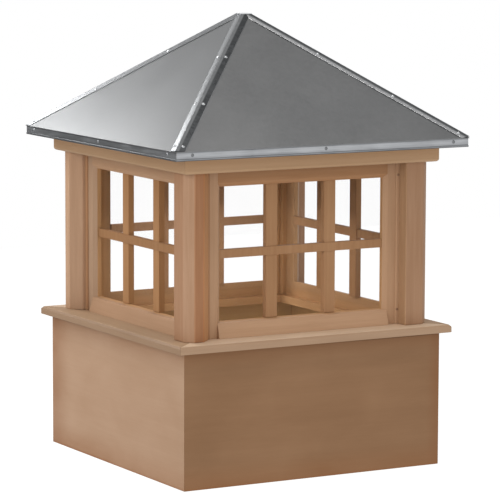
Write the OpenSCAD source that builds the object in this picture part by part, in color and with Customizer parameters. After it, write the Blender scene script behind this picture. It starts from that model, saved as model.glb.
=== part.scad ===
// Square timber cupola: base box, windowed lantern and hipped sheet-metal roof.
// Origin at the centre of the base's underside, front wall towards -Y, up +Z, millimetres.

/* [Base box] */
// outside width of the base box
base_w = 914; // [820:1:1100]
// height of the base panels
base_h = 424; // [250:1:700]
// thickness of the base panels
base_t = 19; // [12:1:30]

/* [Cap] */
// overhang of the cap past the base panels
cap_over = 28; // [12:1:45]
// thickness of the cap boards
cap_t = 25; // [18:1:40]
// width of a cap board from outer to inner edge
cap_board_w = 150; // [146:1:200]
// bevel on the cap's upper outer edge
cap_bevel = 7; // [2:0.5:12]

/* [Corner posts] */
// width of a square post
post_w = 89; // [75:1:110]
// height of a post from cap to eaves
post_h = 565; // [450:1:750]
// distance of the posts' outer faces behind the base panels' outer faces
post_inset = 24; // [10:1:40]
// chamfer on the post's outer corner, measured along each face
corner_chamfer = 25; // [5:1:30]
// chamfer on the post's right-hand edge beside a window
side_chamfer = 32; // [4:1:38]

/* [Window frames] */
// distance of the frame's face behind the posts' outer faces
frame_recess = 47; // [30:1:60]
// thickness of stiles and rails
frame_t = 26; // [20:1:36]
// width of a stile
stile_w = 52; // [40:1:90]
// height of the top rail
top_rail_h = 100; // [80:1:140]
// chamfer round the light edges of stiles and top rail
frame_chamfer = 12; // [4:1:17]
// height of the sill rail
sill_h = 50; // [32:1:80]
// fall of the sill's top from the light to the frame's face
sill_fall = 4; // [1:0.5:8]
// distance that the sill rail's foot leans out past the frame's face
sill_out = 14; // [6:1:24]

/* [Window bars] */
// number of lights across a window
light_columns = 3; // [2:1:4]
// number of lights up a window
light_rows = 2; // [2:1:3]
// width of an upright bar
upright_w = 40; // [25:1:55]
// thickness of an upright bar
upright_t = 20; // [15:1:26]
// distance of the uprights' faces in front of the frame's back
upright_out = 8; // [4:1:9]
// height of a cross bar
cross_w = 27; // [18:1:45]
// thickness of a cross bar
cross_t = 18; // [14:1:23]
// distance of the cross bar's face in front of the uprights
cross_step = 3; // [1:0.5:4]

/* [Glazing] */
// thickness of a clear sheet
glass_t = 4; // [2:0.5:8]
// lap of the sheet past the lights
glass_lap = 20; // [8:1:36]

/* [Cornice] */
// thickness of the cornice boards
cornice_t = 19; // [12:1:30]
// height of the cornice boards
cornice_h = 50; // [35:1:75]
// radius of the cornice's lower outer edge
cornice_round = 9; // [3:0.5:11]

/* [Eaves] */
// overhang of the eave boards past the cornice
eave_over = 64; // [40:1:100]
// thickness of the eave boards
eave_t = 19; // [14:1:25]
// height of the deck's upright edge above the eave boards
deck_edge = 10; // [6:1:14]
// thickness of the roof deck
deck_t = 12; // [9:1:18]

/* [Roof sheets] */
// pitch of the roof in degrees
roof_pitch = 36.4; // [28:0.1:45]
// half the width of the flat apex
apex_half = 19.4; // [16:0.1:30]
// thickness of a roof sheet
sheet_t = 1.2; // [0.8:0.1:2]
// lip of the roof sheet past the drip edge
sheet_lip = 1.5; // [0.5:0.1:3]
// thickness of a folded hip cap
hip_t = 1.5; // [1:0.1:2.5]
// half the width of a hip cap, across the hip
hip_half = 22; // [14:1:36]
// height of a hip cap's fold above the joint of the sheets
hip_rise = 3; // [1:0.5:8]
// thickness of the apex cap
apex_t = 2; // [1:0.1:4]

/* [Drip edges] */
// thickness of the drip edge's metal
drip_t = 1.2; // [0.8:0.1:2]
// height of the hem folded up at the foot of the drip edge
hem_h = 6; // [4:0.5:10]
// distance of the drip edge's foot below the eave boards
drip_drop = 1; // [0.5:0.1:8]

/* [Joints] */
// clearance between mitred pieces that stay separate
joint_gap = 0.5; // [0.2:0.1:1]

/* [Hidden] */
base_half = base_w / 2;
cap_half = base_half + cap_over;
cap_in = cap_half - cap_board_w;
lantern_z = base_h + cap_t;
post_half = base_half - post_inset;
post_in = post_half - post_w;
frame_face = post_half - frame_recess;
frame_back = frame_face - frame_t;
eave_z = lantern_z + post_h;
light_half = post_in - stile_w;
mould_half = light_half + frame_chamfer;
light_base = lantern_z + sill_h;
light_top = eave_z - top_rail_h;
light_w = (2 * light_half - (light_columns - 1) * upright_w) / light_columns;
light_h = (light_top - light_base - (light_rows - 1) * cross_w) / light_rows;
upright_face = frame_back + upright_out;
cross_face = upright_face + cross_step;
sill_top = light_base - sill_fall;
glass_face = upright_face - upright_t;
cornice_half = post_half + cornice_t;
cornice_z = eave_z - cornice_h;
eave_half = cornice_half + eave_over;
eave_top = eave_z + eave_t;
roof_z = eave_top + deck_edge;
drip_face = eave_half + drip_t;
hem_face = drip_face + drip_t;
drip_z = eave_z - drip_drop;
sheet_edge = hem_face + sheet_lip;
// fall of the hips in degrees
hip_fall = atan(tan(roof_pitch) / sqrt(2));
hip_foot = joint_gap - hip_half * sin(hip_fall);
// height of the surface lying t above the deck, at distance d from the axis
function slope_z(d, t) = roof_z + (eave_half - d) * tan(roof_pitch) + t / cos(roof_pitch);
// distance from the axis of the surface lying t above the deck, at height z
function slope_d(z, t) = eave_half - (z - roof_z - t / cos(roof_pitch)) / tan(roof_pitch);
apex_z = slope_z(apex_half, sheet_t) + (hip_rise + hip_t) / cos(hip_fall);
margin = 10;
reach = sheet_edge + margin;
overall = apex_z + 2 * margin;
pine = [0.66, 0.51, 0.39];
pine_dark = [0.56, 0.42, 0.31];
plywood = [0.63, 0.49, 0.38];
zinc = [0.62, 0.63, 0.64];
zinc_dark = [0.48, 0.49, 0.50];
clear = [0.85, 0.92, 0.93, 0.35];
$fa = 4;
$fs = 0.6;

// A piece of the front wall or front right corner, turned to one of the four sides.
module side(turn) {
  rotate(90 * turn)
    children();
}

// A section drawn as distance out from the axis and height, run along the front wall.
module run(length) {
  rotate([90, 0, -90])
    linear_extrude(length, center = true)
      children();
}

// A section run along the front wall and mitred at both corners.
module mitred(gap = 0) {
  intersection() {
    run(2 * reach)
      children();
    translate([0, -gap, -margin])
      linear_extrude(overall)
        polygon([[0, 0], [reach, -reach], [-reach, -reach]]);
  }
}

// The four walls' pieces of one kind, kept apart at the mitres.
module all_sides() {
  for (turn = [0:3])
    side(turn)
      mitred(joint_gap)
        children();
}

module base_panel() {
  color(plywood)
    mitred()
      translate([base_half - base_t, 0])
        square([base_t, base_h]);
}

module cap_board() {
  color(pine)
    mitred()
      polygon([
        [cap_in, base_h],
        [cap_half, base_h],
        [cap_half, lantern_z - cap_bevel],
        [cap_half - cap_bevel, lantern_z],
        [cap_in, lantern_z]
      ]);
}

// Corner post at the front right, chamfered on both edges of the face that looks right.
module post() {
  color(pine)
    translate([0, 0, lantern_z])
      linear_extrude(post_h)
        polygon([
          [post_in, -post_in],
          [post_in, -post_half],
          [post_half - corner_chamfer, -post_half],
          [post_half, corner_chamfer - post_half],
          [post_half, -post_in - side_chamfer],
          [post_half - side_chamfer, -post_in]
        ]);
}

module stile() {
  translate([0, 0, lantern_z])
    linear_extrude(post_h)
      polygon([
        [light_half, -frame_back],
        [light_half, frame_chamfer - frame_face],
        [mould_half, -frame_face],
        [post_in, -frame_face],
        [post_in, -frame_back]
      ]);
}

module stiles() {
  color(pine_dark) {
    stile();
    mirror([1, 0, 0])
      stile();
  }
}

// Rail between the stiles, its ends coped over the stiles' chamfers.
module coped_rail() {
  difference() {
    run(2 * mould_half)
      children();
    stiles();
  }
}

// Sill rail, its top falling outwards and its face leaning out towards the foot.
module sill_rail() {
  color(pine_dark)
    coped_rail()
      polygon([
        [frame_back, lantern_z],
        [frame_face + sill_out, lantern_z],
        [frame_face, sill_top],
        [frame_back, light_base]
      ]);
}

module top_rail() {
  color(pine_dark)
    coped_rail()
      polygon([
        [frame_back, light_top],
        [frame_face - frame_chamfer, light_top],
        [frame_face, light_top + frame_chamfer],
        [frame_face, eave_z],
        [frame_back, eave_z]
      ]);
}

// Window bars: uprights from sill to top rail, with cross bars halved into their faces.
module grille() {
  color(pine) {
    for (i = [1:light_columns - 1])
      translate([i * (light_w + upright_w) - upright_w - light_half, -upright_face, light_base])
        cube([upright_w, upright_t, light_top - light_base]);
    for (i = [1:light_rows - 1])
      translate([-light_half, -cross_face, light_base + i * (light_h + cross_w) - cross_w])
        cube([2 * light_half, cross_t, cross_w]);
  }
}

module glazing() {
  color(clear)
    for (turn = [0:3])
      side(turn)
        translate([-light_half - glass_lap, -glass_face, light_base - glass_lap])
          cube([2 * (light_half + glass_lap), glass_t, light_top - light_base + 2 * glass_lap]);
}

module cornice() {
  color(pine)
    mitred() {
      translate([post_half, cornice_z + cornice_round])
        square([cornice_t, cornice_h - cornice_round]);
      translate([post_half, cornice_z])
        square([cornice_t - cornice_round, cornice_h]);
      translate([cornice_half - cornice_round, cornice_z + cornice_round])
        circle(cornice_round);
    }
}

module eave_boards() {
  color(plywood)
    all_sides()
      translate([post_in, eave_z])
        square([eave_half - post_in, eave_t]);
}

module roof_deck() {
  color(plywood)
    all_sides()
      polygon([
        [eave_half, eave_top],
        [eave_half, roof_z],
        [apex_half, slope_z(apex_half, 0)],
        [apex_half, slope_z(apex_half, -deck_t)],
        [slope_d(eave_top, -deck_t), eave_top]
      ]);
}

module roof_sheet() {
  color(zinc)
    mitred()
      polygon([
        [sheet_edge, slope_z(sheet_edge, 0)],
        [sheet_edge, slope_z(sheet_edge, sheet_t)],
        [apex_half, slope_z(apex_half, sheet_t)],
        [apex_half, slope_z(apex_half, 0)]
      ]);
}

// Folded strip over the front right hip, its fold standing clear of the sheets.
module hip_cap() {
  color(zinc_dark)
    intersection() {
      translate([0, 0, slope_z(0, sheet_t)])
        rotate([0, 0, -45])
          rotate([0, 90 + hip_fall, 0])
            rotate([0, 0, 90])
              linear_extrude(sqrt(2) * reach / cos(hip_fall))
                polygon([
                  [-hip_half, hip_foot],
                  [0, hip_rise],
                  [hip_half, hip_foot],
                  [hip_half, hip_foot + hip_t],
                  [0, hip_rise + hip_t],
                  [-hip_half, hip_foot + hip_t]
                ]);
      translate([joint_gap, -sheet_edge, 0])
        cube([sheet_edge - joint_gap, sheet_edge - joint_gap, apex_z]);
    }
}

// Drip edges under the sheets, each with a hem folded up at its foot.
module drip_edges() {
  color(zinc_dark)
    all_sides()
      polygon([
        [eave_half, drip_z],
        [hem_face, drip_z],
        [hem_face, drip_z + hem_h],
        [drip_face, drip_z + hem_h],
        [drip_face, slope_z(drip_face, 0)],
        [eave_half, roof_z]
      ]);
}

module apex_cap() {
  color(zinc_dark)
    translate([-apex_half, -apex_half, apex_z])
      cube([2 * apex_half, 2 * apex_half, apex_t]);
}

side(0) base_panel();  // base_panel_front
side(1) base_panel();  // base_panel_right
side(2) base_panel();  // base_panel_back
side(3) base_panel();  // base_panel_left
side(0) cap_board();  // cap_board_front
side(1) cap_board();  // cap_board_right
side(2) cap_board();  // cap_board_back
side(3) cap_board();  // cap_board_left
side(0) post();  // post_front_right
side(1) post();  // post_back_right
side(2) post();  // post_back_left
side(3) post();  // post_front_left
side(0) stiles();  // stiles_front
side(1) stiles();  // stiles_right
side(2) stiles();  // stiles_back
side(3) stiles();  // stiles_left
side(0) sill_rail();  // sill_rail_front
side(1) sill_rail();  // sill_rail_right
side(2) sill_rail();  // sill_rail_back
side(3) sill_rail();  // sill_rail_left
side(0) top_rail();  // top_rail_front
side(1) top_rail();  // top_rail_right
side(2) top_rail();  // top_rail_back
side(3) top_rail();  // top_rail_left
side(0) grille();  // grille_front
side(1) grille();  // grille_right
side(2) grille();  // grille_back
side(3) grille();  // grille_left
glazing();
side(0) cornice();  // cornice_front
side(1) cornice();  // cornice_right
side(2) cornice();  // cornice_back
side(3) cornice();  // cornice_left
eave_boards();
roof_deck();
side(0) roof_sheet();  // roof_sheet_front
side(1) roof_sheet();  // roof_sheet_right
side(2) roof_sheet();  // roof_sheet_back
side(3) roof_sheet();  // roof_sheet_left
side(0) hip_cap();  // hip_cap_front_right
side(1) hip_cap();  // hip_cap_back_right
side(2) hip_cap();  // hip_cap_back_left
side(3) hip_cap();  // hip_cap_front_left
drip_edges();
apex_cap();
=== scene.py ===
import math

import bpy
import numpy as np
from mathutils import Matrix, Vector


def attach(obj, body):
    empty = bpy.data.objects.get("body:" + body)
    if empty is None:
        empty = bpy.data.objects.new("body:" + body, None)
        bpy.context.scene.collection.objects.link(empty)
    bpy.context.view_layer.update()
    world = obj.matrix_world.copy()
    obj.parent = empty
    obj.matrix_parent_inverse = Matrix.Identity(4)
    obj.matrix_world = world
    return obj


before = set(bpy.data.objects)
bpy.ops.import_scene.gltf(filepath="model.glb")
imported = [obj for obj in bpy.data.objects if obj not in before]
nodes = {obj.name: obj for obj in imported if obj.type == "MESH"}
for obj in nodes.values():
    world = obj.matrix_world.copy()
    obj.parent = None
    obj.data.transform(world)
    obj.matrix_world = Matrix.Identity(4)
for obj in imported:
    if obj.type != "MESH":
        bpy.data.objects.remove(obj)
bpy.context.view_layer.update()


# Base box: four panels of faced plywood, mitred at the corners and glued, with the
# face grain lying level. They are stained, and the foot of the box has taken up dirt.


class Shade:
    """A shader socket. Arithmetic on it adds Math nodes to the tree that it belongs to."""

    def __init__(self, tree, socket):
        self.tree = tree
        self.socket = socket

    def node(self, kind, settings=None, sockets=None, output=0):
        """Adds a node of any kind: its settings are set first, then its sockets' values or links."""
        made = self.tree.nodes.new(kind)
        for key, value in (settings or {}).items():
            setattr(made, key, value)
        for key, value in (sockets or {}).items():
            if isinstance(value, Shade):
                self.tree.links.new(value.socket, made.inputs[key])
            else:
                made.inputs[key].default_value = value
        return Shade(self.tree, made.outputs[output] if made.outputs else None)

    def maths(self, operation, first, second=0.0, clamp=False):
        """One Math node on two values."""
        settings = {"operation": operation, "use_clamp": clamp}
        return self.node("ShaderNodeMath", settings, {0: first, 1: second})

    def __add__(self, other):
        return self.maths("ADD", self, other)

    def __radd__(self, other):
        return self.maths("ADD", other, self)

    def __sub__(self, other):
        return self.maths("SUBTRACT", self, other)

    def __rsub__(self, other):
        return self.maths("SUBTRACT", other, self)

    def __mul__(self, other):
        return self.maths("MULTIPLY", self, other)

    def __rmul__(self, other):
        return self.maths("MULTIPLY", other, self)

    def __abs__(self):
        return self.maths("ABSOLUTE", self)

    def most(self, other):
        """The greater of two values."""
        return self.maths("MAXIMUM", self, other)

    def least(self, other):
        """The lesser of two values."""
        return self.maths("MINIMUM", self, other)

    def clamped(self):
        """The value held between 0 and 1."""
        return self.maths("ADD", self, 0.0, clamp=True)

    def rise(self, low, high):
        """A smooth step that goes from 0 at low to 1 at high, also where high is the lesser."""
        settings = {"interpolation_type": "SMOOTHSTEP"}
        if low > high:
            return 1.0 - self.rise(high, low)
        return self.node("ShaderNodeMapRange", settings, {0: self, 1: low, 2: high, 3: 0.0, 4: 1.0})

    def axis(self, letter):
        """One coordinate of a vector."""
        return self.node("ShaderNodeSeparateXYZ", None, {0: self}, output="XYZ".index(letter))

    def stretched(self, scale):
        """A vector with each coordinate multiplied by its own factor."""
        return self.node("ShaderNodeMapping", {"vector_type": "POINT"}, {"Vector": self, "Scale": scale})

    def noise(self, scale, detail=2.0, roughness=0.5, distortion=0.0):
        """Noise between 0 and 1 at a place, with scale in patches per metre."""
        sockets = {"Vector": self, "Scale": scale, "Detail": detail}
        sockets.update({"Roughness": roughness, "Distortion": distortion})
        return self.node("ShaderNodeTexNoise", {"noise_dimensions": "3D"}, sockets)

    def blend(self, first, second, kind="MIX"):
        """The first colour where this value is 0, the second, or both combined, where it is 1."""
        settings = {"data_type": "RGBA", "clamp_factor": True, "blend_type": kind}
        return self.node("ShaderNodeMix", settings, {0: self, 6: first, 7: second}, output=2)


def tint(red, green, blue):
    """A colour written as screen values from 0 to 255, turned into linear light for the shader."""
    values = np.array([red, green, blue]) / 255.0
    linear = np.where(values <= 0.04045, values / 12.92, ((values + 0.055) / 1.055) ** 2.4)
    return (*linear.tolist(), 1.0)


def new_finish(name):
    """An empty material, returned with the place on the piece, in metres, that its patterns read."""
    finish = bpy.data.materials.new(name)
    finish.use_nodes = True
    finish.node_tree.nodes.clear()
    start = Shade(finish.node_tree, None)
    return finish, start.node("ShaderNodeTexCoord", output=3)


def close_finish(place, height, depth, **sockets):
    """Joins the shader to the output, with a bump of the given height pattern and depth in metres."""
    if height is not None:
        bump = {"Height": height, "Distance": depth, "Strength": 1.0}
        sockets["Normal"] = place.node("ShaderNodeBump", None, bump)
    named = {key.replace("_", " "): value for key, value in sockets.items()}
    shader = place.node("ShaderNodeBsdfPrincipled", None, named)
    place.node("ShaderNodeOutputMaterial", None, {"Surface": shader})


def dress(node, finish):
    """Gives a piece its finish in place of the plain one that it came with."""
    nodes[node].data.materials.clear()
    nodes[node].data.materials.append(finish)


def ease_edges(node, width):
    """Takes the sharp arris off a piece, as sandpaper or a press brake does."""
    piece = nodes[node]
    piece.modifiers.new("join", "WELD").merge_threshold = 1e-5
    flats = piece.modifiers.new("flats", "DECIMATE")
    flats.decimate_type = "DISSOLVE"
    flats.angle_limit = math.radians(0.5)
    arris = piece.modifiers.new("arris", "BEVEL")
    arris.width = width
    arris.segments = 2
    arris.limit_method = "ANGLE"
    arris.angle_limit = math.radians(20)


def span(node, letter):
    """A piece's least and greatest coordinate along one axis, in metres to a micrometre."""
    vertices = nodes[node].data.vertices
    places = np.empty(3 * len(vertices))
    vertices.foreach_get("co", places)
    along = places["XYZ".index(letter)::3].round(6)
    return float(along.min()), float(along.max())


SIDES = {"front": "X", "right": "Y", "back": "X", "left": "Y"}
STAIN_SHEEN = 0.15
GRAIN_ALONG = {"X": (0.045, 1.0, 1.0), "Y": (1.0, 0.045, 1.0), "Z": (1.0, 1.0, 0.045)}
base_half = span("base_panel_right", "X")[1]
base_top = span("base_panel_right", "Z")[1]


def panel_face(name, grain, pale, deep, end_run, shadow_drop):
    """Rotary-cut face veneer: wide cloudy figure with faint level lines, redder and darker at the foot.

    The far end darkens over its last end_run, and a painted shadow line is full at the given drop under the
    cap.
    """
    finish, place = new_finish(name)
    along = place.stretched(GRAIN_ALONG[grain])
    cloud = place.stretched((1.0, 1.0, 1.8)).noise(4.0, 3.0, 0.5, 0.4)
    figure = along.noise(26.0, 4.0, 0.55, 0.8)
    pores = along.noise(380.0, 2.0, 0.6)
    depth = 0.45 + (cloud - 0.5) * 0.75 + (figure - 0.5) * 0.45 + (pores - 0.5) * 0.22
    colour = depth.clamped().blend(pale, deep)
    height = place.axis("Z")
    foot = height.rise(0.09, 0.0) * (0.15 + cloud * 0.45) + height.rise(0.012, 0.0) * cloud * 0.7
    colour = foot.clamped().blend(colour, tint(136, 88, 52))
    # Painted shade: a darker band under the cap's overhang.
    painted_shade_under_cap = height.rise(base_top - 0.064, base_top) * (0.16 + cloud * 0.3)
    colour = painted_shade_under_cap.clamped().blend(colour, tint(150, 106, 72))
    far = place.axis("X") + place.axis("Y")
    # Painted shadow: a thin dark line just under the cap, fading out towards the near corner.
    shadow_line_full = base_top - shadow_drop
    painted_shadow_line = height.rise(shadow_line_full - 0.0045, shadow_line_full) * far.rise(-0.6, -0.15) * (0.45 + cloud * 0.6)
    colour = painted_shadow_line.clamped().blend(colour, tint(82, 56, 38))
    across, back = abs(place.axis("X")), abs(place.axis("Y"))
    ends = across.least(back).rise(base_half - end_run, base_half) * far.rise(-0.3, -0.05)
    colour = (ends * (0.2 + cloud * 0.6)).clamped().blend(colour, tint(132, 88, 56))
    out = across.most(back)
    raw = depth.clamped().blend(tint(196, 162, 116), tint(170, 134, 91))
    colour = out.rise(base_half - 0.005, base_half - 0.011).blend(colour, raw)
    rough = 0.5 + cloud * 0.2
    close_finish(place, pores, 0.0003, Base_Color=colour, Roughness=rough,
                 Specular_IOR_Level=STAIN_SHEEN)
    return finish


panel_faces = {
    "X": panel_face("plywood_face_front", "X", tint(148, 113, 83), tint(126, 93, 65), 0.052, 0.0045),
    "Y": panel_face("plywood_face_side", "Y", tint(175, 144, 118), tint(154, 121, 94), 0.157, 0.0075),
}
for side, run in SIDES.items():
    dress(f"base_panel_{side}", panel_faces[run])
    ease_edges(f"base_panel_{side}", 0.0012)


# Cap: four boards mitred at the corners and laid flat on the base box. Their upper outer
# edge is planed off at a bevel. They are the same wood, painted paler on top: painted light from above.

RAW_FROM = 0.3735


def timber(name, grain, pale, deep, figure=0.5, faces=(), top=None, raw_inside=True):
    """Stained wood: long streaks, fine pores and slow blotches, all drawn out along the grain.

    Faces that look into the lantern are raw and yellower. Each of faces gives a direction across the
    cupola, how far out a face square to it lies, and the tone that the wood there is multiplied by:
    painted light on that face where the tone is paler, painted shade where it is darker.
    cupola, how far out a face square to it lies, and the tone that the wood there is multiplied by.
    Where top is given, as a height and two tones, the face above that height is painted paler: painted
    light from above.
    """
    finish, place = new_finish(name)
    along = place.stretched(GRAIN_ALONG[grain])
    streak = along.noise(70.0, 5.0, 0.6, 0.35)
    pores = along.noise(420.0, 3.0, 0.65)
    blotch = place.noise(3.2, 2.0, 0.5)
    grained = (streak - 0.5) * figure * 1.6 + (pores - 0.5) * figure * 0.55
    depth = 0.5 + grained + (blotch - 0.5) * 0.55
    colour = depth.clamped().blend(pale, deep)
    # Painted light and painted shade on single faces, as tones that the wood is multiplied by.
    for across, along_y, reach, tone in faces:
        out = place.axis("X") * across + place.axis("Y") * along_y
        colour = out.rise(reach - 0.0022, reach - 0.0008).blend(colour, tone, "MULTIPLY")
    if top:
        level, pale_top, deep_top = top
        # Painted light: the face above that height is paler.
        painted_light_top = depth.clamped().blend(pale_top, deep_top)
        colour = place.axis("Z").rise(level - 0.002, level - 0.0006).blend(colour, painted_light_top)
    if raw_inside:
        out = abs(place.axis("X")).most(abs(place.axis("Y")))
        raw = depth.clamped().blend(tint(186, 145, 102), tint(159, 118, 78))
        colour = out.rise(RAW_FROM + 0.0003, RAW_FROM - 0.0003).blend(colour, raw)
    rough = 0.55 + streak * 0.2
    relief = pores * 0.6 + streak * 0.4
    close_finish(place, relief, 0.0006, Base_Color=colour, Roughness=rough,
                 Specular_IOR_Level=STAIN_SHEEN)
    return finish


cap_top = span("cap_board_front", "Z")[1]
cap_boards = {
    "X": timber("cap_pine_X", "X", tint(177, 148, 122), tint(156, 126, 100),
                top=(cap_top, tint(207, 182, 157), tint(187, 160, 133))),
    "Y": timber("cap_pine_Y", "Y", tint(151, 124, 99), tint(136, 109, 85),
                top=(cap_top, tint(170, 142, 114), tint(153, 125, 98))),
}
for side, run in SIDES.items():
    dress(f"cap_board_{side}", cap_boards[run])
    ease_edges(f"cap_board_{side}", 0.0015)


# Corner posts: square timber, planed with a chamfer on the outer corner and on one edge
# beside a window. They stand on the cap and run up behind the cornice.

CORNER_CHAMFER = 0.025
SIDE_CHAMFER = 0.032
# Tones that single post faces are multiplied by: painted shade where darker and redder, painted light where
# paler.
PAINTED_SHADE_RED = tint(254, 239, 226)
PAINTED_LIGHT_CORNER = (1.2, 1.3, 1.42, 1.0)
PAINTED_LIGHT_EDGE = (1.33, 1.22, 1.01, 1.0)
PAINTED_LIGHT_SIDE = (1.19, 1.26, 1.22, 1.0)
PAINTED_SHADE_CORNER = (0.71, 0.7, 0.68, 1.0)
post_in, post_face = span("post_front_right", "X")
diagonal = math.sqrt(0.5)
corner_reach = (2 * post_face - CORNER_CHAMFER) * diagonal
side_reach = (post_face - post_in - SIDE_CHAMFER) * diagonal
post_wood = {
    "front_right": (tint(170, 134, 106), tint(144, 108, 80), [
        (1.0, 0.0, post_face, PAINTED_SHADE_RED),
        (-1.0, 0.0, -post_in, PAINTED_LIGHT_SIDE)]),
    "back_right": (tint(178, 141, 111), tint(152, 114, 85), [(0.0, 1.0, post_face, PAINTED_SHADE_RED)]),
    "back_left": (tint(183, 149, 121), tint(157, 123, 96), [
        (-diagonal, diagonal, corner_reach, PAINTED_SHADE_CORNER)]),
    "front_left": (tint(168, 130, 101), tint(143, 105, 76), [
        (0.0, -1.0, post_face, PAINTED_SHADE_RED),
        (diagonal, -diagonal, side_reach, PAINTED_LIGHT_EDGE),
        (-diagonal, -diagonal, corner_reach, PAINTED_LIGHT_CORNER)]),
}
for corner, (pale, deep, faces) in post_wood.items():
    dress(f"post_{corner}", timber(f"post_pine_{corner}", "Z", pale, deep, 0.7, faces))
    ease_edges(f"post_{corner}", 0.0025)


# Window frames: stiles and rails of the same pine. Stiles and top rail are chamfered round the
# lights, the sill's face leans out towards its foot, and the rails are coped over the stiles'
# chamfers. The bars behind are plain strips halved together.

# The copy for the front and back is paler: painted light on stiles that stand in shade in their recess.
upright_pine = {
    "X": timber("upright_pine_X", "Z", tint(191, 155, 124), tint(165, 128, 97), 0.6),
    "Y": timber("upright_pine_Y", "Z", tint(176, 147, 121), tint(153, 121, 95), 0.6),
}
cross_face = span("grille_right", "X")[1]
# Painted shade: the crossbar's outer face on the left wall is darkened.
painted_shade_cross = [(-1.0, 0.0, cross_face, tint(235, 234, 236))]
bar_pine = {
    "X": timber("bar_pine_X", "Z", tint(174, 134, 98), tint(149, 109, 75), 0.6, raw_inside=False),
    "Y": timber("bar_pine_Y", "Z", tint(166, 124, 84), tint(142, 101, 64), 0.6, painted_shade_cross,
                raw_inside=False),
}
sill_pine = {
    "X": timber("sill_pine_X", "X", tint(193, 158, 128), tint(169, 133, 102), 0.6),
    "Y": timber("sill_pine_Y", "Y", tint(174, 140, 111), tint(152, 117, 88), 0.6),
}
rail_pine = {
    "X": timber("rail_pine_X", "X", tint(174, 132, 96), tint(151, 109, 74), 0.6),
    "Y": timber("rail_pine_Y", "Y", tint(182, 148, 118), tint(159, 122, 92), 0.6),
}
for side, run in SIDES.items():
    dress(f"stiles_{side}", upright_pine[run])
    dress(f"grille_{side}", bar_pine[run])
    dress(f"sill_rail_{side}", sill_pine[run])
    dress(f"top_rail_{side}", rail_pine[run])
    for part in ("stiles", "sill_rail", "top_rail", "grille"):
        ease_edges(f"{part}_{side}", 0.001)


# Stop beads: slim strips of pine in the corner between each stile and post, rounded on the
# outer edge. They keep the window frame in its opening, and the right-hand ones show two nails.


def quarter_turns(points):
    """Points of the front wall or front right corner, repeated on all four sides by quarter turns."""
    steps = np.arange(4) * math.pi / 2
    turns = np.zeros((4, 3, 3))
    turns[:, 0, 0] = turns[:, 1, 1] = np.cos(steps)
    turns[:, 1, 0] = np.sin(steps)
    turns[:, 0, 1] = -np.sin(steps)
    turns[:, 2, 2] = 1.0
    return np.einsum("tij,nj->tni", turns, np.asarray(points, float)).reshape(-1, 3)


def put_piece(name, points, faces, finish, smooth=False):
    """Makes a piece of whole arrays of points and faces, which rides on the cupola's one body."""
    mesh = bpy.data.meshes.new(name)
    mesh.from_pydata(points.tolist(), [], faces)
    mesh.polygons.foreach_set("use_smooth", np.full(len(mesh.polygons), smooth))
    mesh.materials.append(finish)
    piece = bpy.data.objects.new(name, mesh)
    bpy.context.scene.collection.objects.link(piece)
    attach(piece, "root")


def strips(profile, starts, ends, sides, ups):
    """Straight strips: a closed profile carried from each start to its end.

    A point is the start or end plus the profile's first value along side and its second along up.
    The profile runs anticlockwise seen against the direction of travel, so that faces look outwards.
    """
    profile = np.asarray(profile, float)
    count, size = len(starts), len(profile)
    section = profile[:, 0, None] * sides[:, None, :] + profile[:, 1, None] * ups[:, None, :]
    points = np.stack([starts[:, None, :] + section, ends[:, None, :] + section], axis=1)
    first = np.arange(count)[:, None] * 2 * size
    here = np.arange(size)
    after = (here + 1) % size
    walls = np.stack([here, after, after + size, here + size], axis=-1)
    walls = (first[:, :, None] + walls).reshape(-1, 4).tolist()
    feet = (first + here[::-1]).tolist()
    heads = (first + size + here).tolist()
    return points.reshape(-1, 3), walls + feet + heads


def turned_heads(profile, places, normals, count=14):
    """Nail or screw heads: a profile of radius and height turned about each normal.

    A point is the place plus radius times a circle square to the normal plus height along the normal.
    The profile starts and ends on the axis, so each head closes in a point below and above.
    """
    profile = np.asarray(profile, float)
    angle = np.arange(count) * 2 * math.pi / count
    helper = np.where(np.abs(normals[:, 2:]) > 0.9, [[1.0, 0.0, 0.0]], [[0.0, 0.0, 1.0]])
    across = np.cross(helper, normals)
    across /= np.linalg.norm(across, axis=1, keepdims=True)
    beside = np.cross(normals, across)
    circle = np.cos(angle)[:, None] * across[:, None, :] + np.sin(angle)[:, None] * beside[:, None, :]
    rings = profile[1:-1]
    ring = rings[None, :, None, :1] * circle[:, None] + rings[None, :, None, 1:] * normals[:, None, None, :]
    poles = places[:, None, :] + profile[[0, -1], 1][None, :, None] * normals[:, None, :]
    ring = (places[:, None, None, :] + ring).reshape(len(places), -1, 3)
    points = np.concatenate([ring, poles], axis=1)
    size, layers = points.shape[1], len(rings)
    first = np.arange(len(places))[:, None] * size
    here = np.arange(count)
    after = (here + 1) % count
    level = np.arange(layers - 1)[:, None] * count
    above_here, above_after = level + here + count, level + after + count
    quads = np.stack([level + here, level + after, above_after, above_here], axis=-1)
    quads = (first[:, :, None] + quads.reshape(1, -1, 4)).reshape(-1, 4).tolist()
    last = (layers - 1) * count
    below = np.stack([after, here, np.full(count, layers * count)], axis=-1)
    above = np.stack([here + last, after + last, np.full(count, layers * count + 1)], axis=-1)
    fans = np.concatenate([below, above])
    fans = (first[:, :, None] + fans[None]).reshape(-1, 3).tolist()
    return points.reshape(-1, 3), quads + fans


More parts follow.
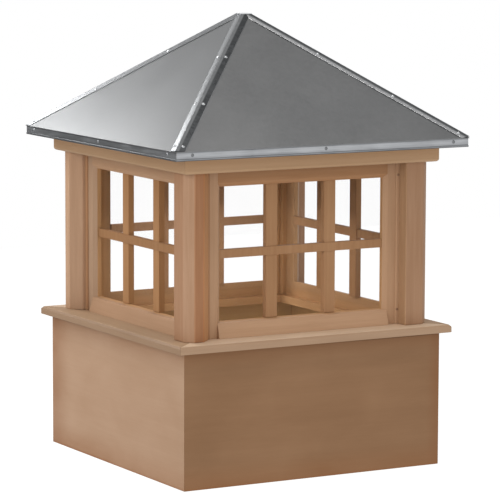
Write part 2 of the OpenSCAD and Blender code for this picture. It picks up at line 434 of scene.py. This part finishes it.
BEAD_W = 0.011
BEAD_T = 0.006
BEAD_R = 0.004
BEAD_GAP = 0.0003
frame_face = span("stiles_right", "X")[1]
eave_foot = span("eave_boards", "Z")[0]
bend = np.linspace(0.0, math.pi / 2, 6)
bead_round = np.stack([
    BEAD_W - BEAD_R + BEAD_R * np.sin(bend), BEAD_T - BEAD_R + BEAD_R * np.cos(bend)], axis=1)
bead_section = np.concatenate([[[0.0, BEAD_GAP], [0.0, BEAD_T]], bead_round, [[BEAD_W, BEAD_GAP]]])
bead_out, bead_low = post_in - BEAD_GAP, cap_top + BEAD_GAP
bead_foot = quarter_turns([[bead_out, -frame_face, bead_low], [-bead_out, -frame_face, bead_low]])
bead_head = bead_foot + [0.0, 0.0, eave_foot - cap_top - 2 * BEAD_GAP]
bead_side = quarter_turns([[-1.0, 0.0, 0.0], [1.0, 0.0, 0.0]])
bead_up = quarter_turns([[0.0, -1.0, 0.0], [0.0, -1.0, 0.0]])
right_hand = np.arange(len(bead_foot)) % 2 == 0
# The left-hand beads take a darker copy of the pine: painted shade in the corner beside the post.
shaded_bead = timber("shaded_bead_pine", "Z", tint(173, 132, 98), tint(149, 109, 77), 0.6)
for hand, chosen, section, wood in (
        ("right", right_hand, bead_section[::-1], upright_pine["X"]),
        ("left", ~right_hand, bead_section, shaded_bead)):
    points, faces = strips(
        section, bead_foot[chosen], bead_head[chosen], bead_side[chosen], bead_up[chosen])
    put_piece(f"stop_beads_{hand}", points, faces, wood)


def dull_steel():
    """Steel stained over with the wood, with a mottled film of rust."""
    finish, place = new_finish("nail_steel")
    film = place.noise(700.0, 3.0, 0.6)
    colour = film.blend(tint(128, 96, 73), tint(158, 126, 100))
    rough = 0.45 + film * 0.2
    close_finish(place, film, 0.0002, Base_Color=colour, Roughness=rough, Metallic=0.35)
    return finish


NAIL_HEAD = [
    [0.0, -0.001], [0.0041, -0.0008], [0.0043, 0.0003], [0.0028, 0.0008], [0.0, 0.001]]
NAIL_UP = 0.047
NAIL_DOWN = 0.092
nail_heights = (cap_top + NAIL_UP, eave_foot - NAIL_DOWN)
bead_middle = post_in - BEAD_W * 0.5
nail_places = quarter_turns([[bead_middle, -frame_face - BEAD_T, z] for z in nail_heights])
nail_normals = quarter_turns([[0.0, -1.0, 0.0]] * len(nail_heights))
points, faces = turned_heads(NAIL_HEAD, nail_places, nail_normals)
put_piece("bead_nails", points, faces, dull_steel(), smooth=True)


# Glazing: one clear acrylic sheet behind each window's bars, cut from flat stock and fixed
# from inside. It hardly shows, but for a faint film of dust.


def clear_sheet():
    """A clear sheet with a faint dust film, most of it see-through."""
    finish, place = new_finish("clear_acrylic")
    film = place.noise(14.0, 3.0, 0.6)
    veil = 0.004 + film * 0.012
    close_finish(place, None, 0.0, Base_Color=tint(236, 240, 240), Roughness=0.06, Alpha=veil)
    return finish


dress("glazing", clear_sheet())


# Cornice: four boards nailed to the posts' outer faces under the eaves, mitred at the
# corners, with the lower outer edge rounded over.

# The copy for the left and right sides is darker: painted shade under the drip edges.
cornice_boards = {
    "X": timber("cornice_pine_X", "X", tint(183, 151, 120), tint(165, 133, 100)),
    "Y": timber("cornice_pine_Y", "Y", tint(171, 141, 111), tint(153, 123, 93)),
}
for side, run in SIDES.items():
    dress(f"cornice_{side}", cornice_boards[run])
    ease_edges(f"cornice_{side}", 0.001)


# Eaves and deck: plywood that closes the underside of the overhang and carries the metal.
# It is seen only from below and from inside, and it is left raw.

raw_plywood = timber("raw_plywood", "X", tint(204, 176, 138), tint(178, 146, 106), 0.5)
dress("eave_boards", raw_plywood)
dress("roof_deck", raw_plywood)


# Roof sheets: four flat sheets of galvanised steel laid on the deck, each a triangle with its
# tip cut off. They are dull and even, with the faint flow and spangle that hot zinc leaves.


def galvanised(name, tone, spread, dull, cells, streaks, bands=()):
    """Zinc-coated steel: spangle cells, slow cloudy flow and level roll streaks in tone and gloss.

    Each of bands is a stripe along a hip, on the flank that faces front or back: the distances off the
    fold where it starts and ends, and its tone: painted shade where dark, painted highlight where bright.
    """
    finish, place = new_finish(name)
    grid = {"Vector": place, "Scale": 110.0, "Randomness": 1.0}
    cell = {"feature": "F1", "distance": "EUCLIDEAN"}
    spangle = place.node("ShaderNodeTexVoronoi", cell, grid, output=1)
    fleck = spangle.axis("X") - 0.5
    flow = place.stretched((1.0, 1.0, 0.6)).noise(4.0, 3.0, 0.5, 0.4) - 0.5
    rolled = place.stretched((0.06, 0.06, 1.0)).noise(160.0, 3.0, 0.6) - 0.5
    depth = 0.5 + flow * 0.8 + fleck * cells + rolled * streaks
    low, high = np.array(tone) - spread, np.array(tone) + spread
    colour = depth.clamped().blend(tint(*low), tint(*high))
    # Painted stripes along the fold: dark ones are painted shade, bright ones painted highlight.
    for start, end, stripe in bands:
        off = abs(place.axis("Y")) - abs(place.axis("X"))
        painted_band = off.rise(start - 0.003, start + 0.003) * off.rise(end + 0.004, end - 0.004)
        colour = (painted_band * (0.9 + flow + fleck * 0.25)).clamped().blend(colour, tint(*stripe))
    rough = dull + flow * 0.12 + fleck * cells * 0.2 + rolled * streaks * 0.1
    close_finish(place, flow, 0.0009, Base_Color=colour, Roughness=rough, Metallic=1.0)
    return finish


roof_zinc = galvanised("roof_zinc", (134, 135, 136), 7, 0.42, 0.2, 0.15)
for side in SIDES:
    dress(f"roof_sheet_{side}", roof_zinc)


# Hip caps: strips folded along their middle in a press brake, with their edges hemmed, and
# screwed down over the joints between the sheets. They are brighter than the sheets.

# Painted shade and highlight along the folds: a dark stripe next to each fold, and on all but the front
# left cap a bright stripe beyond it.
shade_and_highlight_fold = ((0.001, 0.013, (82, 84, 86)), (0.018, 0.04, (190, 191, 193)))
painted_shade_fold = ((0.011, 0.045, (78, 80, 82)),)
flashing = galvanised("flashing", (143, 145, 147), 14, 0.37, 0.3, 0.3, shade_and_highlight_fold)
painted_shade_flashing = galvanised("painted_shade_flashing", (143, 145, 147), 14, 0.37, 0.3, 0.3, painted_shade_fold)
for corner in post_wood:
    dress(f"hip_cap_{corner}", painted_shade_flashing if corner == "front_left" else flashing)
    ease_edges(f"hip_cap_{corner}", 0.0006)

PITCH_ANGLE = math.radians(36.4)
SHEET_T = 0.0012
HIP_T = 0.0015
HIP_HALF = 0.022
HIP_RISE = 0.003
HIP_GAP = 0.0005
hip_fall = math.atan(math.tan(PITCH_ANGLE) / math.sqrt(2.0))
hip_foot = HIP_GAP - HIP_HALF * math.sin(hip_fall)
sheet_edge = span("roof_sheet_right", "X")[1]
deck_edge = span("roof_deck", "X")[1]
# The drip edges end level with the foot of the deck's slope.
slope_foot = span("drip_edges", "Z")[1]
peak = slope_foot + deck_edge * math.tan(PITCH_ANGLE) + SHEET_T / math.cos(PITCH_ANGLE)
hip_top = np.array([0.0, 0.0, peak])
outward = np.array([1.0, -1.0, 0.0]) / math.sqrt(2.0)
hip_down = outward * math.cos(hip_fall) - [0.0, 0.0, math.sin(hip_fall)]
hip_side = np.array([1.0, 1.0, 0.0]) / math.sqrt(2.0)
hip_up = outward * math.sin(hip_fall) + [0.0, 0.0, math.cos(hip_fall)]
hip_length = math.sqrt(2.0) * sheet_edge / math.cos(hip_fall)
flank = (hip_foot - HIP_RISE) / HIP_HALF


def hip_point(share, across):
    """A point on a hip cap's upper face, at a share of the hip's length and a distance off its fold."""
    height = HIP_RISE + HIP_T + flank * abs(across)
    return hip_top + hip_down * hip_length * share + hip_side * across + hip_up * height


HEM_R = 0.0011
HEM_SINK = 0.0009
HEM_START = 0.055
HEM_END = 0.965
angle = np.linspace(0.0, 2 * math.pi, 10, endpoint=False)
hem_section = np.stack([HEM_R * np.cos(angle), HEM_R * np.sin(angle)], axis=1)
hem_hands = (-1.0, 1.0)
sunk = hip_up * HEM_SINK
hem_starts = quarter_turns([hip_point(HEM_START, hand * HIP_HALF) - sunk for hand in hem_hands])
hem_ends = quarter_turns([hip_point(HEM_END, hand * HIP_HALF) - sunk for hand in hem_hands])
hem_sides, hem_ups = quarter_turns([hip_side] * 2), quarter_turns([hip_up] * 2)
points, faces = strips(hem_section, hem_starts, hem_ends, hem_sides, hem_ups)
hem_zinc = galvanised("hem_zinc", (130, 132, 134), 12, 0.5, 0.1, 0.3)
put_piece("hip_hems", points, faces, hem_zinc, smooth=True)


# Roof screws: zinc-plated steel with a washer under the head, pressed and rolled. They hold
# the hip caps down in pairs, one in each flange.

SCREW_HEAD = [
    [0.0, -0.0012], [0.0058, -0.001], [0.006, 0.0004], [0.0056, 0.0008], [0.0036, 0.001],
    [0.0034, 0.0026], [0.0026, 0.0033], [0.0012, 0.0036], [0.0, 0.0037]]
SCREW_OFF = 0.55
screw_shares = (0.335, 0.667, 0.955)
screw_pairs = [(share, hand) for share in screw_shares for hand in hem_hands]
bright_zinc = galvanised("bright_zinc", (196, 198, 200), 12, 0.28, 0.1, 0.3)
screw_places = quarter_turns([
    hip_point(share, hand * HIP_HALF * SCREW_OFF) for share, hand in screw_pairs])
flank_normals = [hip_up - hip_side * hand * flank for share, hand in screw_pairs]
screw_normals = quarter_turns(np.array(flank_normals) / math.hypot(1.0, flank))
points, faces = turned_heads(SCREW_HEAD, screw_places, screw_normals)
put_piece("hip_screws", points, faces, bright_zinc, smooth=True)


# Drip edges: folded strips under the sheets' lower edges, with a hem turned up at the foot.
# At the corners a lapped ear closes the joint, and each strip has three screws.

drip_foot = span("drip_edges", "Z")[0]


def banded_zinc():
    """Folded zinc with level streaks, by height above the strip's foot.

    A painted highlight makes it brightest above the middle, painted shade leaves it grey under the sheet,
    and at the foot a painted shadow line lies beside real grime on the hem's ledge.
    """
    finish, place = new_finish("drip_zinc")
    up = place.axis("Z") - drip_foot
    rolled = place.stretched((0.06, 0.06, 1.0)).noise(160.0, 3.0, 0.6) - 0.5
    flow = place.stretched((1.0, 1.0, 0.6)).noise(9.0, 3.0, 0.5, 0.4) - 0.5
    # Painted highlight: a bright band above the middle, falling to painted shade under the sheet's edge.
    painted_highlight = up.rise(-0.005, 0.016) * up.rise(0.0275, 0.0215)
    depth = 0.12 + painted_highlight * 0.75 + rolled * 0.9 + flow * 0.5
    colour = depth.clamped().blend(tint(96, 98, 101), tint(180, 182, 185))
    # Darker at the foot: a painted shadow line at the very foot, and grime on the hem's ledge.
    ledge = up.rise(0.0052, 0.0058) * up.rise(0.0069, 0.0063)
    grime_and_shadow = up.rise(0.0025, 0.0003).most(ledge) * (0.75 + flow)
    colour = grime_and_shadow.clamped().blend(colour, tint(62, 63, 64))
    rough = 0.32 + flow * 0.12 + rolled * 0.15 + grime_and_shadow * 0.2
    close_finish(place, flow, 0.0009, Base_Color=colour, Roughness=rough, Metallic=1.0)
    return finish


drip_zinc = banded_zinc()
dress("drip_edges", drip_zinc)
ease_edges("drip_edges", 0.0005)

DRIP_T = 0.0012
SCREW_UP = 0.0175
SCREW_OUT = 0.462
drip_face = span("drip_edges", "X")[1] - DRIP_T
drip_spread = (-SCREW_OUT, 0.0, SCREW_OUT)
drip_places = quarter_turns([[x, -drip_face, drip_foot + SCREW_UP] for x in drip_spread])
drip_normals = quarter_turns([[0.0, -1.0, 0.0]] * len(drip_spread))
flat_head = np.array(SCREW_HEAD) * [0.9, 0.6]
points, faces = turned_heads(flat_head, drip_places, drip_normals)
screw_zinc = galvanised("screw_zinc", (128, 130, 132), 16, 0.4, 0.1, 0.3)
put_piece("drip_screws", points, faces, screw_zinc, smooth=True)

EAR_T = 0.0007
EAR_LOW = 0.0075
EAR_HIGH = 0.0275
EAR_INSET = 0.0028
ear_outline = [[0.001, EAR_LOW], [0.034, EAR_LOW], [0.046, EAR_HIGH], [0.001, EAR_HIGH]]
ear_start = quarter_turns([[-sheet_edge + EAR_INSET, -drip_face, drip_foot]])
ear_end = ear_start + quarter_turns([[0.0, -EAR_T, 0.0]])
ear_side, ear_up = quarter_turns([[1.0, 0.0, 0.0]]), quarter_turns([[0.0, 0.0, 1.0]])
points, faces = strips(ear_outline, ear_start, ear_end, ear_side, ear_up)
put_piece("corner_ears", points, faces, drip_zinc)


# Apex cap: a small square plate of bright zinc-coated steel, laid flat over the heads of the
# four hip caps. It is the last piece on, and closes the point where they meet.

dress("apex_cap", bright_zinc)


# Studio: a pale floor, a large soft lamp on the left, a steep one above the front and one
# behind that the left side of the roof mirrors. The ground fades into a white background.

FLOOR_GLOW = 1.17
FLOOR_SHOWN = 0.8


def studio_floor():
    """A pale floor that glows white to the camera, to bounced rays and to rays through the sheets.

    A fifth of it stays matt, so it still takes the object's shadow.
    """
    finish, place = new_finish("studio_floor")
    matt = place.node("ShaderNodeBsdfDiffuse", None, {"Color": (0.8, 0.8, 0.8, 1.0)})
    white = {"Color": (1.0, 1.0, 1.0, 1.0), "Strength": FLOOR_GLOW}
    glow = place.node("ShaderNodeEmission", None, white)
    seen = place.node("ShaderNodeLightPath", output=0)
    bounced = place.node("ShaderNodeLightPath", output=5)
    through = place.node("ShaderNodeLightPath", output=6)
    shown = (seen + bounced + through).clamped() * FLOOR_SHOWN
    floor = place.node("ShaderNodeMixShader", None, {0: shown, 1: matt, 2: glow})
    place.node("ShaderNodeOutputMaterial", None, {"Surface": floor})
    return finish


FLOOR_HALF = 5.0
ground = bpy.data.meshes.new("floor")
floor_corners = np.array([[-1, -1, 0], [1, -1, 0], [1, 1, 0], [-1, 1, 0]]) * FLOOR_HALF
ground.from_pydata(floor_corners.tolist(), [], [(0, 1, 2, 3)])
ground.materials.append(studio_floor())
floor = bpy.data.objects.new("floor", ground)
bpy.context.scene.collection.objects.link(floor)

world = bpy.data.worlds.new("studio")
bpy.context.scene.world = world
world.use_nodes = True
world.node_tree.nodes.clear()
start = Shade(world.node_tree, None)
direction = start.node("ShaderNodeTexCoord", output=0)
height = direction.axis("Z")
camera_ray = start.node("ShaderNodeLightPath", output=0)
bounced_ray = start.node("ShaderNodeLightPath", output=5)
through_ray = start.node("ShaderNodeLightPath", output=6)
CEILING_DIM = 0.5
FLAG_DIM = 0.93
AMBIENT = 0.39
# Bounced rays find the ceiling and the dark flag behind, and light drawn straight from the world
# is AMBIENT.
ceiling = 1.0 - height.rise(0.2, 0.7) * CEILING_DIM
behind = direction.axis("Y") * 0.87 - direction.axis("X") * 0.49
flag = behind.rise(0.86, 0.97) * height.rise(0.3, 0.1)
ceiling = ceiling * (1.0 - flag * FLAG_DIM)
seen = (camera_ray + through_ray).clamped()
level = seen + (1.0 - seen) * (bounced_ray * ceiling + (1.0 - bounced_ray) * AMBIENT)
backdrop = {"Color": (1.0, 1.0, 1.0, 1.0), "Strength": level}
background = start.node("ShaderNodeBackground", None, backdrop)
start.node("ShaderNodeOutputWorld", None, {"Surface": background})


def lamp(name, place, aim, size, power, colour=(1.0, 1.0, 1.0)):
    """A square soft box at a place, turned towards the point that it lights."""
    light = bpy.data.lights.new(name, "AREA")
    light.size = size
    light.energy = power
    light.color = colour
    box = bpy.data.objects.new(name, light)
    box.location = place
    box.rotation_euler = (Vector(aim) - Vector(place)).to_track_quat("-Z", "Y").to_euler()
    box.visible_camera = False
    bpy.context.scene.collection.objects.link(box)


lamp("key_left", (-3.9, -1.9, 2.3), (0.0, 0.0, 0.7), 2.0, 48.0)
lamp("top_front", (0.4, -1.9, 5.2), (0.0, -0.2, 0.7), 1.2, 62.0, (1.0, 0.97, 0.93))
lamp("back_left", (-1.2, 1.75, 2.0), (-0.4, 0.3, 1.1), 0.9, 36.0)
lamp("inside_fill", (0.0, 0.0, 0.78), (0.0, 0.0, 0.0), 0.5, 1.3)


# Camera: a long lens far off the front left corner, looking down a little. Its place, turn and
# lens are those at which the edges of the cupola lie as in the photograph.

YAW = math.radians(29.391)
PITCH = math.radians(7.357)
ROLL = math.radians(0.199)
DISTANCE = 9.831
AIM_RIGHT = 0.0232
AIM_HEIGHT = 0.6598
IMAGE_PIXELS = 500
FOCAL_PIXELS = 3067.0
SENSOR_MM = 36.0
level_reach = math.cos(PITCH)
forward = Vector((math.sin(YAW) * level_reach, math.cos(YAW) * level_reach, -math.sin(PITCH)))
right = Vector((math.cos(YAW), -math.sin(YAW), 0.0))
up = right.cross(forward)
rolled_right = right * math.cos(ROLL) + up * math.sin(ROLL)
rolled_up = up * math.cos(ROLL) - right * math.sin(ROLL)
lens = bpy.data.cameras.new("camera")
lens.sensor_width = SENSOR_MM
lens.lens = FOCAL_PIXELS / IMAGE_PIXELS * SENSOR_MM
lens.clip_end = 100.0
camera = bpy.data.objects.new("camera", lens)
turned = Matrix((rolled_right, rolled_up, -forward)).transposed()
aim = right * AIM_RIGHT + Vector((0.0, 0.0, AIM_HEIGHT))
camera.matrix_world = Matrix.Translation(aim - forward * DISTANCE) @ turned.to_4x4()
bpy.context.scene.collection.objects.link(camera)
bpy.context.scene.camera = camera
bpy.context.scene.view_settings.view_transform = "Standard"
